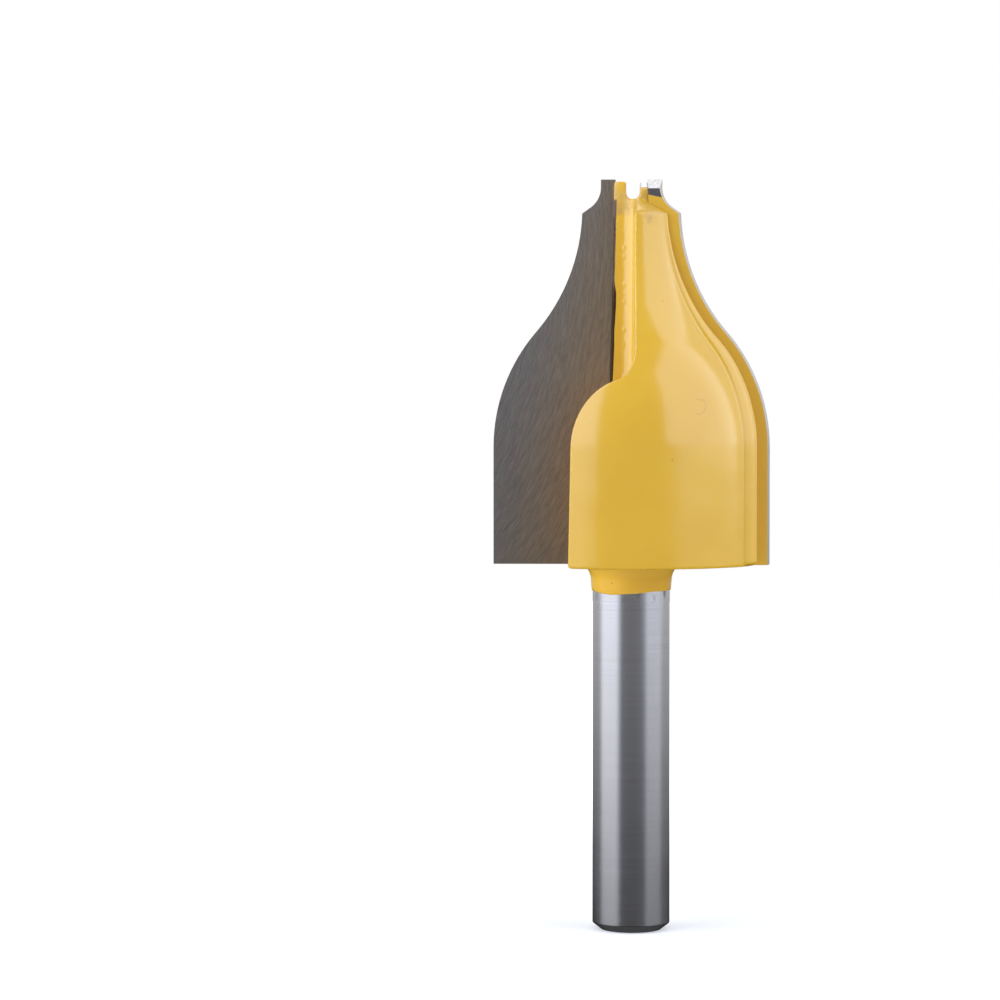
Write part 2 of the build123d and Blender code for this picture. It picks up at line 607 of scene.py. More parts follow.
@dataclass(frozen=True)
class HeadPaint:
    """Glossy yellow paint on the head, bare braze beside the tips' inner edges, and some painted light and
    shade.

    Attributes:
        tip_height: Height of the tips' ends.
        tone: The paint.
        gullet_painted_light: Brighter colour painted on the web and the gullets, painted light that lifts the
            shade between the flute walls.
        spots: Place and size of the few specks on the front, seen along the rake faces.
        curl: Middle and radius of a curled hair mark in the paint.
        collar_painted_light: Paler colour painted on the collar below the head, painted light that lifts the
            head's shade there.
        collar: Heights between which that painted light ends, from the collar up to the head.
        shoulder_painted_shade: Middle and radius of the brownish patch below the nose's shoulder, painted
            shade in the hollow under it.
        scorch_and_painted_shade: Colour of that painted shade, and of the patches of paint discoloured by the
            braze's heat on the nose.
        scorched_nose: Distances below the tips' ends between which the patches set in.
        braze: Dark colour of the seam low down: bare braze, darkened as painted shade of the corner beside
            the tip.
        clean_braze: Greyer colour of the seam near the nose.
        clean_heights: Heights between which the braze turns clean.
        seam_heights: Heights between which its strip narrows.
        seam_widths: Width of the strip below and above them.
        seam_foot: Heights between which the strip gains its full width, from the foot up.
        seam_top: Heights between which the strip ends.
        steel: Colour of the steel where the ends of the nose posts are ground with the tips.
        ground_depth: Depth of the ground steel below the end of a post.
        ground_back: Distances behind the rake face between which a post's end is ground.
        sizes: Sizes of the steel body.
    """

    tip_height: float
    tone: PaintTone = field(default_factory=PaintTone)
    # Painted light: a brighter colour that lifts the shade of the web and the gullets.
    gullet_painted_light: Colour = (0.82, 0.49, 0.030, 1.0)
    spots: tuple[tuple[float, float, float], ...] = (
        (4.08 * MM, 48.8 * MM, 0.13 * MM),
        (-2.00 * MM, 36.1 * MM, 0.12 * MM),
        (3.2 * MM, 64.9 * MM, 0.09 * MM),
    )
    curl: tuple[float, float, float] = (6.75 * MM, 54.2 * MM, 0.97 * MM)
    collar_painted_light: Colour = (0.81, 0.465, 0.042, 1.0)
    collar: tuple[float, float] = (37.5 * MM, 37.9 * MM)
    shoulder_painted_shade: tuple[float, float, float] = (1.45 * MM, 73.4 * MM, 1.5 * MM)
    scorch_and_painted_shade: Colour = (0.52, 0.30, 0.045, 1.0)
    scorched_nose: tuple[float, float] = (4.0 * MM, 3.5 * MM)
    braze: Colour = (0.095, 0.062, 0.032, 1.0)
    clean_braze: Colour = (0.19, 0.125, 0.10, 1.0)
    clean_heights: tuple[float, float] = (65.5 * MM, 67.5 * MM)
    seam_heights: tuple[float, float] = (65.6 * MM, 67.6 * MM)
    seam_widths: tuple[float, float] = (0.35 * MM, 0.14 * MM)
    seam_foot: tuple[float, float] = (56.0 * MM, 64.0 * MM)
    seam_top: tuple[float, float] = (75.4 * MM, 75.8 * MM)
    steel: Colour = (0.66, 0.66, 0.69, 1.0)
    ground_depth: float = 0.16 * MM
    ground_back: tuple[float, float] = (0.02 * MM, 1.15 * MM)
    sizes: BodySizes = field(default_factory=BodySizes)

    def seam(self, build: NodeBuilder, place: object, side: Side) -> object:
        """Mask the dark strip on the web of one flute beside the tip: bare braze, and painted shade of the
        corner.

        Args:
            build: Builder on the material's tree.
            place: Object coordinates.
            side: The flute's side.

        Returns:
            The mask.
        """
        x, y, z = build.split(build.turned(place, side))
        lean, inner = self.sizes.tip_lean, self.sizes.tip_inner
        wall = build.line(build.minus(self.tip_height, z), -math.tan(lean), -inner)
        off = build.minus(x, wall)
        wander = build.noise(build.mapped(place, (0.0, 0.0, 0.0), (0.2, 0.2, 1.0)), 230.0, 2.0)
        width = build.times(
            build.ramp(z, *self.seam_heights, *self.seam_widths),
            build.ramp(z, *self.seam_foot, 0.70, 1.0),
            build.ramp(wander, 0.25, 0.75, 0.8, 1.2),
        )
        beside = build.times(build.below(off, width), build.above(off, -0.3 * MM))
        on_web = build.times(build.below(y, -0.2 * MM), build.above(y, -1.3 * MM))
        return build.times(beside, on_web, build.ramp(z, *self.seam_top, 1.0, 0.0))

    def ground_end(self, build: NodeBuilder, place: object, side: Side) -> object:
        """Mask the bare end of one nose post, ground on the same slope as the tip beside it.

        Args:
            build: Builder on the material's tree.
            place: Object coordinates.
            side: The flute's side.

        Returns:
            The mask.
        """
        x, y, z = build.split(build.turned(place, side))
        slope = build.line(y, math.tan(self.sizes.end_relief), z)
        near = build.above(slope, self.tip_height - self.sizes.post_drop - self.ground_depth)
        front, back = self.ground_back
        behind = build.times(build.above(y, front), build.below(y, back))
        return build.times(near, behind, build.below(x, -0.5 * MM))

    def gullet(self, build: NodeBuilder, place: object, side: Side) -> object:
        """Mask the web and the gullet of one flute, which get painted light.

        Args:
            build: Builder on the material's tree.
            place: Object coordinates.
            side: The flute's side.

        Returns:
            The mask.
        """
        x, y, _ = build.split(build.turned(place, side))
        on_web = build.times(build.below(y, -0.3 * MM), build.ramp(y, -2.3 * MM, -1.7 * MM))
        return build.times(on_web, build.below(x, 0.36 * MM))

    def marks(self, build: NodeBuilder, place: object) -> object:
        """Mask the small specks and the curled hair mark on the front.

        Args:
            build: Builder on the material's tree.
            place: Object coordinates.

        Returns:
            The mask.
        """
        x, y, z = build.split(place)
        total = 0.0
        for across, height, size in self.spots:
            away = build.length(build.vector(build.minus(x, across), 0.0, build.minus(z, height)))
            total = build.either(total, build.ramp(away, size * 0.5, size, 0.55, 0.0))
        across, height, size = self.curl
        aside = build.minus(x, across)
        away = build.length(build.vector(aside, 0.0, build.minus(z, height)))
        bent = build.line(build.noise(place, 900.0, 1.0), 0.5 * MM, away)
        off = build.math("ABSOLUTE", build.minus(bent, size))
        open_side = build.ramp(aside, -0.45 * MM, -0.25 * MM)
        hair = build.times(build.ramp(off, 0.02 * MM, 0.07 * MM, 0.32, 0.0), open_side)
        return build.times(build.either(total, hair), build.below(y, 0.0))

    def scorch_and_painted_shade_mask(self, build: NodeBuilder, place: object) -> object:
        """Mask the painted shade below the shoulder and the patches that the braze's heat left on the nose.

        Args:
            build: Builder on the material's tree.
            place: Object coordinates.

        Returns:
            The mask.
        """
        x, y, z = build.split(place)
        # Painted shade: a brownish patch in the hollow below the nose's shoulder.
        across, height, size = self.shoulder_painted_shade
        flat = build.vector(build.minus(x, across), 0.0, build.times(build.minus(z, height), 1.6))
        cloud = build.noise(place, 800.0, 2.0, 0.6)
        near = build.ramp(build.length(flat), size * 0.25, size, 1.0, 0.0)
        spot = build.times(near, 0.75, build.ramp(cloud, 0.35, 0.65))
        low, high = (self.tip_height - drop for drop in self.scorched_nose)
        patches = build.times(build.ramp(cloud, 0.35, 0.60, 0.25, 0.65), build.ramp(z, low, high))
        return build.times(build.either(spot, patches), build.below(y, 0.0))

    def material(self) -> bpy.types.Material:
        """Build the material.

        Returns:
            The material.
        """
        material, build, shader = new_material("yellow_head_paint")
        place = build.add("ShaderNodeTexCoord").outputs["Object"]
        film = build.add("ShaderNodeGroup", node_tree=self.tone.group())
        build.put(film, "Vector", place)
        bare, ground, thick = (
            build.either(mask(build, place, Side.LEFT), mask(build, place, Side.RIGHT))
            for mask in (self.seam, self.ground_end, self.gullet)
        )
        scorch_and_painted_shade_mask = self.scorch_and_painted_shade_mask(build, place)
        _, _, height = build.split(place)
        # The seam's dark colour is bare braze and painted shade of the corner between web and tip.
        metal = build.mix(build.ramp(height, *self.clean_heights), self.braze, self.clean_braze)
        # Painted light: the web and gullets, masked by thick, are mixed towards a brighter colour.
        paint = build.mix(build.times(thick, 0.8), film.outputs["Color"], self.gullet_painted_light)
        # Painted light: below the head the collar is mixed towards a paler colour that lifts the head's
        # shade.
        paint = build.mix(build.ramp(height, *self.collar, 1.0, 0.0), paint, self.collar_painted_light)
        # Painted shade below the shoulder, and heat discolouration on the nose, share one colour.
        paint = build.mix(scorch_and_painted_shade_mask, paint, self.scorch_and_painted_shade)
        paint = build.mix(self.marks(build, place), paint, self.tone.speck)
        build.put(shader, "Base Color", build.mix(ground, build.mix(bare, paint, metal), self.steel))
        build.put(shader, "Metallic", build.either(ground, bare))
        rough = build.either(build.times(bare, 0.6), build.times(scorch_and_painted_shade_mask, 0.7))
        build.put(shader, "Roughness", build.either(film.outputs["Roughness"], rough))
        shader.inputs["Specular IOR Level"].default_value = self.tone.gloss
        build.put(shader, "Normal", build.bump(film.outputs["Height"], 0.10, 0.05 * MM))
        return material


@dataclass(frozen=True)
class GroundCarbide:
    """Ground tungsten carbide of a tip, with paint on the back of its overhang.

    Attributes:
        side: The tip's side.
        tip_height: Height of the tips' ends.
        cool: Colour of the face away from the paint.
        painted_yellow_reflection: Yellowish colour of the face towards the body, a painted reflection of the
            yellow paint beside it.
        reflection_lean: Lean of the line along which that painted reflection sets in, as X gained in a metre
            of height.
        reflection_reach: Places between which the painted reflection sets in, at the height of the shank's
            end.
        land: Colour of the land ground across the tip's end.
        rear: Colour of the unground back.
        groove: Colour at the bottom of the grinding marks.
        groove_share: Share of that colour in the deepest marks.
        wheel_centre: Place of the grinding wheel's centre, seen on the left tip's face.
        lay_radius: Distance from the wheel's centre at which the marks are laid out in true length.
        lay_stretch: Share of their true length at which the marks are drawn along the arc.
        sizes: Sizes of the steel body and of the tips.
        paint_slope: Slope of the paint's upper edge on the back.
        paint_height: Height of that edge on the spindle axis.
        tone: The paint.
    """

    side: Side
    tip_height: float
    cool: Colour = (0.53, 0.50, 0.49, 1.0)
    painted_yellow_reflection: Colour = (0.66, 0.515, 0.375, 1.0)
    reflection_lean: float = 0.243
    reflection_reach: tuple[float, float] = (-26.5 * MM, -17.0 * MM)
    land: Colour = (0.56, 0.56, 0.57, 1.0)
    rear: Colour = (0.34, 0.32, 0.34, 1.0)
    groove: Colour = (0.0, 0.0, 0.0, 1.0)
    groove_share: float = 0.32
    wheel_centre: tuple[float, float, float] = (-60.0 * MM, 0.0, 72.0 * MM)
    lay_radius: float = 52.0 * MM
    lay_stretch: float = 0.08
    sizes: BodySizes = field(default_factory=BodySizes)
    paint_slope: float = 0.21
    paint_height: float = 76.35 * MM
    tone: PaintTone = field(default_factory=PaintTone)

    def wheel_marks(self, build: NodeBuilder, place: object) -> object:
        """Lay the arcs that the grinding wheel leaves across the face.

        Args:
            build: Builder on the material's tree.
            place: Coordinates turned to the left tip's place.

        Returns:
            The lay, about 0.5 on average.
        """
        ends = {0: place, 1: self.wheel_centre}
        x, y, z = build.split(build.wired("ShaderNodeVectorMath", "Vector", ends, operation="SUBTRACT"))
        reach = build.length(build.vector(x, 0.0, z))
        along = build.times(build.math("ARCTAN2", z, x), self.lay_radius, self.lay_stretch)
        arc = build.vector(reach, along, y)
        fine = build.noise(arc, 9500.0, 3.0, 0.75)
        coarse = build.noise(arc, 3600.0, 2.0, 0.6)
        return build.plus(build.times(fine, 0.62), build.times(coarse, 0.38))

    def bare_metal(self, build: NodeBuilder, place: object, lay: object) -> object:
        """Colour the ground face with its painted reflection of the paint, the land and the back.

        Args:
            build: Builder on the material's tree.
            place: Coordinates turned to the left tip's place.
            lay: The grinding marks.

        Returns:
            The colour.
        """
        x, y, z = build.split(place)
        # Painted reflection: the face turns yellowish towards the painted body.
        across = build.line(z, -self.reflection_lean, x)
        metal = build.mix(build.ramp(across, *self.reflection_reach), self.cool, self.painted_yellow_reflection)
        slope = build.line(y, math.tan(self.sizes.end_relief), z)
        on_land = build.times(build.above(slope, self.tip_height - 0.04 * MM), build.above(y, 0.03 * MM))
        metal = build.mix(on_land, metal, self.land)
        metal = build.mix(build.above(y, self.sizes.tip_thickness - 0.04 * MM), metal, self.rear)
        return build.mix(build.ramp(lay, 0.36, 0.64, 0.0, self.groove_share), metal, self.groove)

    def material(self) -> bpy.types.Material:
        """Build the material, turned to the tip's own side.

        Returns:
            The material.
        """
        material, build, shader = new_material(f"ground_carbide_{self.side.name.lower()}")
        object_place = build.add("ShaderNodeTexCoord").outputs["Object"]
        place = build.turned(object_place, self.side)
        x, y, z = build.split(place)
        lay = self.wheel_marks(build, place)
        thick = self.sizes.tip_thickness
        back = build.ramp(y, thick - 0.07 * MM, thick - 0.03 * MM)
        under_edge = build.minus(build.line(x, self.paint_slope, self.paint_height), z)
        painted = build.times(back, build.ramp(under_edge, -0.03 * MM, 0.03 * MM))
        bare = build.minus(1.0, painted)
        film = build.add("ShaderNodeGroup", node_tree=self.tone.group())
        build.put(film, "Vector", object_place)
        color = build.mix(painted, self.bare_metal(build, place, lay), film.outputs["Color"])
        build.put(shader, "Base Color", color)
        build.put(shader, "Metallic", bare)
        shader.inputs["Specular IOR Level"].default_value = self.tone.gloss
        rough = build.ramp(lay, 0.3, 0.7, 0.33, 0.42)
        hidden = build.times(painted, build.minus(rough, film.outputs["Roughness"]))
        build.put(shader, "Roughness", build.minus(rough, hidden))
        build.put(shader, "Normal", build.bump(build.times(lay, bare), 0.35, 0.01 * MM))
        return material


# The dressed pieces


@dataclass
class PaintedHead:
    """The painted part of the body: the fluted ogee head and the collar below it.

    Attributes:
        tip_height: Height of the carbide tips' ends.
        ogee: The flank of the steel body.
        sizes: Sizes of the steel body.
        arc_steps: Number of steps on each arc of the flank.
        flare_steps: Number of steps on the collar's flare.
        shoulder_steps: Number of steps on the rounding of the shoulder.
        hem_taper: Amount by which the paint thins towards its hem.
        hem_rise: Height of the hem above the collar's foot.
        hem_wave: Height and length of its waves.
        hem_runs: Drop of each run in the hem, with its direction and half width in degrees.
        lip_height: Height at which the leaning lip wall has its nominal place.
        edge_bead: Radius of the bead that the paint draws along the flutes' outer edges.
        edge_bead_rise: Height of the bead's lowest point above the foot of the head.
        backing: Radius of the round steel that backs a tip beside the flank, at the foot of the head.
        backing_share: Share of that radius that is left at the neck.
        bead_heights: Distances from the foot of the head and from the tips' ends that the braze keeps.
        bead_size: Middle half width of the beads of braze, and its change.
        bead_step: Middle distance between two beads, and its change.
        bead_place: Middle place of the beads across the flute, its change, and their distance off the web.
        corner_bead: Half lengths of the bead in the corner beside a nose post.
        ripples: Length and height of the slow and of the quick waves in the film.
        overcut: Distance that the cutting solids reach past the head.
        voxel: Edge of the voxels that give the film its soft edges.
        voxel_turn: Turns about Z and X that keep the voxels out of line with the faces.
        softness: Number of smoothing steps of the whole head and of the nose.
        soft_nose: Height of the softer nose.
        facets: Number of facets round the turned blank.
        triangle_limit: Largest number of triangles that the piece keeps.
    """

    tip_height: float
    ogee: Ogee = field(default_factory=Ogee)
    sizes: BodySizes = field(default_factory=BodySizes)
    arc_steps: int = 40
    flare_steps: int = 8
    shoulder_steps: int = 6
    hem_taper: float = 0.10 * MM
    hem_rise: float = 0.24 * MM
    hem_wave: tuple[float, float] = (0.07 * MM, 1.6 * MM)
    hem_runs: tuple[tuple[float, float, float], ...] = (
        (0.36 * MM, -22.0, 42.0),
        (0.22 * MM, 150.0, 35.0),
    )
    lip_height: float = 50.0 * MM
    edge_bead: float = 0.19 * MM
    edge_bead_rise: float = 0.25 * MM
    backing: float = 1.8 * MM
    backing_share: float = 0.14
    bead_heights: tuple[float, float] = (13.0 * MM, 3.5 * MM)
    bead_size: tuple[float, float] = (0.42 * MM, 0.16 * MM)
    bead_step: tuple[float, float] = (0.95 * MM, 0.55 * MM)
    bead_place: tuple[float, float, float] = (-0.60 * MM, 0.20 * MM, 0.22 * MM)
    corner_bead: tuple[float, float, float] = (0.26 * MM, 0.17 * MM, 0.40 * MM)
    ripples: tuple[tuple[float, float], ...] = ((3.4 * MM, 0.014 * MM), (1.1 * MM, 0.004 * MM))
    overcut: float = 3.5 * MM
    voxel: float = 0.115 * MM
    voxel_turn: tuple[float, float] = (math.radians(34.0), math.radians(21.0))
    softness: tuple[int, int] = (4, 16)
    soft_nose: float = 5.6 * MM
    facets: int = 192
    triangle_limit: int = 190000

    def profile(self) -> list[tuple[float, float]]:
        """Trace the turned blank, from the collar's foot to the nose.

        Returns:
            Radius and height of each point.
        """
        s = self.sizes
        points = [(0.0, s.collar_foot), (s.collar_radius - self.hem_taper, s.collar_foot)]
        flare_foot = self.ogee.foot - s.flare_radius * math.sin(s.flare_sweep)
        for index in range(self.flare_steps + 1):
            angle = s.flare_sweep * index / self.flare_steps
            points.append(
                (
                    s.collar_radius + s.flare_radius * (1.0 - math.cos(angle)),
                    flare_foot + s.flare_radius * math.sin(angle),
                )
            )
        points += self.ogee.flank(self.arc_steps)
        neck_radius, neck_height = points.pop()
        rise = (neck_radius - s.post_radius) * math.tan(s.shoulder_slope)
        turn = math.pi / 2 - s.shoulder_slope
        cut = s.shoulder_round * math.tan(turn / 2)
        points = [point for point in points if point[1] < neck_height - cut]
        for index in range(self.shoulder_steps + 1):
            angle = turn * index / self.shoulder_steps
            inwards = s.shoulder_round * (1.0 - math.cos(angle))
            points.append((neck_radius - inwards, neck_height - cut + s.shoulder_round * math.sin(angle)))
        post_top = self.tip_height - s.post_drop
        points += [(s.post_radius, neck_height + rise), (s.post_radius, post_top), (0.0, post_top)]
        return points

    def hem(self, blank: bpy.types.Object) -> None:
        """Let the paint end in a wavy hem at the foot of the collar, lowest a little left of the front.

        Args:
            blank: The turned blank, which is changed.
        """
        high, long = self.hem_wave
        for vertex in blank.data.vertices:
            if vertex.co.z < self.sizes.collar_foot + TOUCHING:
                angle = math.degrees(math.atan2(vertex.co.x, -vertex.co.y))
                wave = high * noise.noise(Vector((vertex.co.x, vertex.co.y, 0.0)) / long)
                run = sum(
                    drop * math.exp(-(((angle - middle) / width) ** 2))
                    for drop, middle, width in self.hem_runs
                )
                vertex.co.z += self.hem_rise + wave - run

    def flute_cutter(self) -> bpy.types.Object:
        """Make the solid that one pass of the flute cutter removes.

        Returns:
            The solid, at the left tip's flute.
        """
        s = self.sizes
        reach = self.ogee.outer + self.overcut
        cutter = block(
            "flute_cutter",
            (-reach, -s.half_web - s.flute_width, self.ogee.foot),
            (s.past_axis, -s.half_web, self.tip_height + self.overcut),
        )
        for depth, radius in ((-s.half_web, s.gullet_round), (-s.half_web - s.flute_width, s.lip_round)):
            bpy.ops.object.mode_set(mode="EDIT")
            select_edges(
                cutter,
                lambda a, b: same(a.x, s.past_axis)
                and same(b.x, s.past_axis)
                and same(a.y, depth)
                and same(b.y, depth),
            )
            bpy.ops.mesh.bevel(offset=radius, segments=10)
            bpy.ops.object.mode_set(mode="OBJECT")
        for vertex in cutter.data.vertices:
            if vertex.co.y < -s.flute_width / 2:
                vertex.co.y += (self.lip_height - vertex.co.z) * math.tan(s.lip_lean)
        return cutter

    def seat_cutter(self) -> bpy.types.Object:
        """Make the solid that mills the seat of the left tip.

        Returns:
            The solid.
        """
        s = self.sizes
        reach = self.ogee.outer + self.overcut
        top = self.tip_height + self.overcut
        cutter = block(
            "seat_cutter",
            (-reach, -s.half_web - self.overcut, self.ogee.foot),
            (-s.tip_inner, s.tip_thickness, top),
        )
        for vertex in cutter.data.vertices:
            if vertex.co.x > -reach / 2:
                vertex.co.x -= (self.tip_height - vertex.co.z) * math.tan(s.tip_lean)
        return cutter

    def nose_cutters(self) -> list[bpy.types.Object]:
        """Make the solids that notch the nose and grind the end relief of both posts.

        Returns:
            The three solids.
        """
        s = self.sizes
        top = self.tip_height + self.overcut
        half = s.notch_width / 2
        bottom = self.tip_height - s.post_drop - s.notch_depth
        notch = block(
            "notch_cutter",
            (s.notch_shift - half, -self.overcut, bottom),
            (s.notch_shift + half, self.overcut, top),
        )
        bpy.ops.object.mode_set(mode="EDIT")
        select_edges(
            notch,
            lambda a, b: same(a.z, bottom) and same(b.z, bottom) and same(a.x, b.x),
        )
        bpy.ops.mesh.bevel(offset=s.notch_round, segments=5)
        bpy.ops.object.mode_set(mode="OBJECT")
        relief = block(
            "relief_cutter",
            (-self.overcut, 0.0, self.tip_height - s.post_drop),
            (0.0, self.overcut, top),
        )
        for vertex in relief.data.vertices:
            if vertex.co.y > self.overcut / 2 and vertex.co.z < self.tip_height:
                vertex.co.z -= self.overcut * math.tan(s.end_relief)
        return [notch, relief, turn_copy(relief, math.pi)]

    def flute_edge(self, radius: float, height: float) -> Vector:
        """Find the middle of the bead where the left flute's wall leaves the flank at one height.

        Args:
            radius: Radius of the flank at this height.
            height: The height.

        Returns:
            The middle of the bead, just inside the steel.
        """
        s = self.sizes
        wall = s.half_web + s.flute_width - (self.lip_height - height) * math.tan(s.lip_lean)
        middle = Vector((s.past_axis - s.lip_round, s.lip_round - wall))
        low, high = 0.0, math.pi / 2
        for _ in range(30):
            turn = (low + high) / 2.0
            corner = middle + s.lip_round * Vector((math.sin(turn), -math.cos(turn)))
            low, high = (turn, high) if corner.length > radius else (low, turn)
        if turn < 1e-4:
            corner = Vector((-math.sqrt(radius * radius - wall * wall), -wall))
        elif turn > math.pi / 2 - 1e-4:
            corner = Vector((s.past_axis, -math.sqrt(radius * radius - s.past_axis * s.past_axis)))
        along_flank = Vector((-corner.y, corner.x)).normalized()
        inwards = along_flank * 0.65 - corner.normalized()
        return (corner + inwards * self.edge_bead).to_3d() + Vector((0.0, 0.0, height))

    def edge_rods(self) -> list[bpy.types.Object]:
        """Lay the beads of paint along the flutes' edges and the round steel that backs the tips.

        Returns:
            Two beads and two rods of steel.
        """
        flank = self.ogee.flank(self.arc_steps)
        flank = [(flank[0][0], flank[0][1] + self.edge_bead_rise)] + flank[1:]
        back = self.sizes.tip_thickness
        edge = [self.flute_edge(radius, height) for radius, height in flank]
        backing, radii = [], []
        for radius, height in flank:
            outwards = (radius - self.ogee.neck) / (self.ogee.outer - self.ogee.neck)
            size = self.backing * (self.backing_share + (1.0 - self.backing_share) * outwards)
            reach = math.sqrt(radius * radius - back * back)
            backing.append((0.92 * size - reach, back + 1.27 * size, height))
            radii.append(size)
        first = rod("edge_bead", edge, [self.edge_bead] * len(edge))
        second = rod("backing", backing, radii)
        return [first, turn_copy(first, math.pi), second, turn_copy(second, math.pi)]

    def corner_fill(self) -> bpy.types.Object:
        """Add the paint and braze that fill the corner between the left nose post and the left tip.

        Returns:
            The fill.
        """
        s = self.sizes
        top = self.tip_height - s.post_drop
        fill = block(
            "corner_fill",
            (-s.tip_inner - 0.18 * MM, -0.80 * MM, top - 4.0 * MM),
            (-0.80 * MM, s.tip_thickness - 0.22 * MM, top),
        )
        for vertex in fill.data.vertices:
            if vertex.co.x < -s.post_radius:
                vertex.co.x -= (top - vertex.co.z) * math.tan(s.tip_lean)
        return fill

    def bead(self, centre: Sequence[float], radii: Sequence[float], side: Side) -> bpy.types.Object:
        """Add one bead of paint or braze, to be melted into the film.

        Args:
            centre: Middle of the bead, as it lies in the left flute.
            radii: Half lengths of the bead along the three axes.
            side: The flute that it lies in.

        Returns:
            The bead.
        """
        deselect_all()
        bpy.ops.mesh.primitive_ico_sphere_add(subdivisions=2, radius=1.0, location=centre, scale=radii)
        drop = bpy.context.object
        bpy.ops.object.transform_apply(location=True, rotation=True, scale=True)
        drop.data.transform(Matrix.Rotation(side.value, 4, "Z"))
        return drop

    def beads(self) -> list[bpy.types.Object]:
        """Add the uneven braze along both gullets, and the paint that fills the corner beside each nose post.

        Returns:
            The beads.
        """
        s = self.sizes
        start, stop = self.bead_heights
        middle_size, size_change = self.bead_size
        step, step_change = self.bead_step
        across, change, off_web = self.bead_place
        drops = []
        for side, seed in ((Side.LEFT, 3.0), (Side.RIGHT, 11.0)):
            height = self.ogee.foot + start
            while height < self.tip_height - stop:
                wander = noise.noise(Vector((height / (0.9 * MM), seed, 0.0)))
                swell = noise.noise(Vector((height / (0.6 * MM), seed, 7.0)))
                size = middle_size + size_change * swell
                centre = (across + change * wander, -s.half_web + off_web, height)
                drops.append(self.bead(centre, (size, size * 0.85, size * (1.6 + swell)), side))
                height += step + step_change * wander
            corner = (-s.tip_inner - 0.05 * MM, -0.06 * MM, self.tip_height - 0.95 * MM)
            drops.append(self.bead(corner, self.corner_bead, side))
        return drops

    def ripple(self, head: bpy.types.Object) -> None:
        """Give the film the slight unevenness of dipped paint.

        Args:
            head: The head, whose mesh is changed.
        """
        mesh = head.data
        (long, high), (short, low) = self.ripples
        moved = []
        for vertex in mesh.vertices:
            slow = noise.noise(vertex.co / long)
            quick = noise.noise(vertex.co / short + Vector((5.0, 0.0, 0.0)))
            moved.append(vertex.co + vertex.normal * (high * slow + low * quick))
        for vertex, place in zip(mesh.vertices, moved):
            vertex.co = place

    def build(self) -> bpy.types.Object:
        """Turn the blank, mill it, and give its edges the softness of a thick film.

        Returns:
            The painted head.
        """
        head = spin_profile("painted_head", self.profile(), self.facets)
        self.hem(head)
        for make in (self.flute_cutter, self.seat_cutter):
            cutter = make()
            opposite = turn_copy(cutter, math.pi)
            combine(head, cutter)
            combine(head, opposite)
        fill = self.corner_fill()
        combine(head, turn_copy(fill, math.pi), "UNION")
        combine(head, fill, "UNION")
        for cutter in self.nose_cutters():
            combine(head, cutter)
        drops = self.beads() + self.edge_rods()
        deselect_all()
        for drop in drops:
            drop.select_set(True)
        head.select_set(True)
        bpy.context.view_layer.objects.active = head
        bpy.ops.object.join()
        about_z, about_x = self.voxel_turn
        slant = Matrix.Rotation(about_z, 4, "Z") @ Matrix.Rotation(about_x, 4, "X")
        head.data.transform(slant)
        apply_modifier(head, "REMESH", mode="VOXEL", voxel_size=self.voxel, use_smooth_shade=True)
        head.data.transform(slant.inverted())
        everywhere, on_nose = self.softness
        apply_modifier(head, "SMOOTH", factor=0.5, iterations=everywhere)
        nose = head.vertex_groups.new(name="nose")
        foot = self.tip_height - self.soft_nose
        nose.add([vertex.index for vertex in head.data.vertices if vertex.co.z > foot], 1.0, "REPLACE")
        apply_modifier(head, "SMOOTH", factor=0.5, iterations=on_nose, vertex_group="nose")
        head.vertex_groups.clear()
        self.ripple(head)
        share = self.triangle_limit / (2.0 * len(head.data.polygons))
        apply_modifier(head, "DECIMATE", ratio=min(1.0, share))
        head.data.validate()
        make_active(head)
        bpy.ops.object.shade_smooth()
        return head


@dataclass
class GroundShank:
    """The bare ground shank, chamfered at its end.

    Attributes:
        sizes: Sizes of the steel body.
        seat: Length of the shank hidden inside the painted collar.
        guard: Distance from either end to a ring of edges that keeps the long side's shading straight.
        edge: Width of the rounding on each edge.
        facets: Number of facets round the shank.
    """

    sizes: BodySizes = field(default_factory=BodySizes)
    seat: float = 1.0 * MM
    guard: float = 0.15 * MM
    edge: float = 0.06 * MM
    facets: int = 192

    def build(self) -> bpy.types.Object:
        """Turn the shank and round the edges of its chamfer.

        Returns:
            The shank.
        """
        s = self.sizes
        profile = [
            (0.0, 0.0),
            (s.shank_radius - s.chamfer_width, 0.0),
            (s.shank_radius, s.chamfer_height),
            (s.shank_radius, s.chamfer_height + self.guard),
            (s.shank_radius, s.collar_foot + self.seat - self.guard),
            (s.shank_radius, s.collar_foot + self.seat),
            (0.0, s.collar_foot + self.seat),
        ]
        shank = spin_profile("ground_shank", profile, self.facets)
        sharp = math.radians(20.0)
        apply_modifier(shank, "BEVEL", width=self.edge, segments=3, limit_method="ANGLE", angle_limit=sharp)
        make_active(shank)
        bpy.ops.object.shade_smooth_by_angle(angle=math.radians(35.0))
        return shank


@dataclass
class CarbideTip:
    """One carbide tip, which keeps its solid and gets its finish.

    Attributes:
        side: The tip's side.
        tip_height: Height of the tips' ends.
    """

    side: Side
    tip_height: float

    @property
    def node(self) -> str:
        """Name of the tip's node."""
        return f"carbide_tip_{self.side.name.lower()}"

    def dress(self) -> None:
        """Give the tip its ground and painted finish."""
        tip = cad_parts[self.node]
        tip.data.materials[0] = GroundCarbide(self.side, self.tip_height).material()


# Stage, lamps and camera


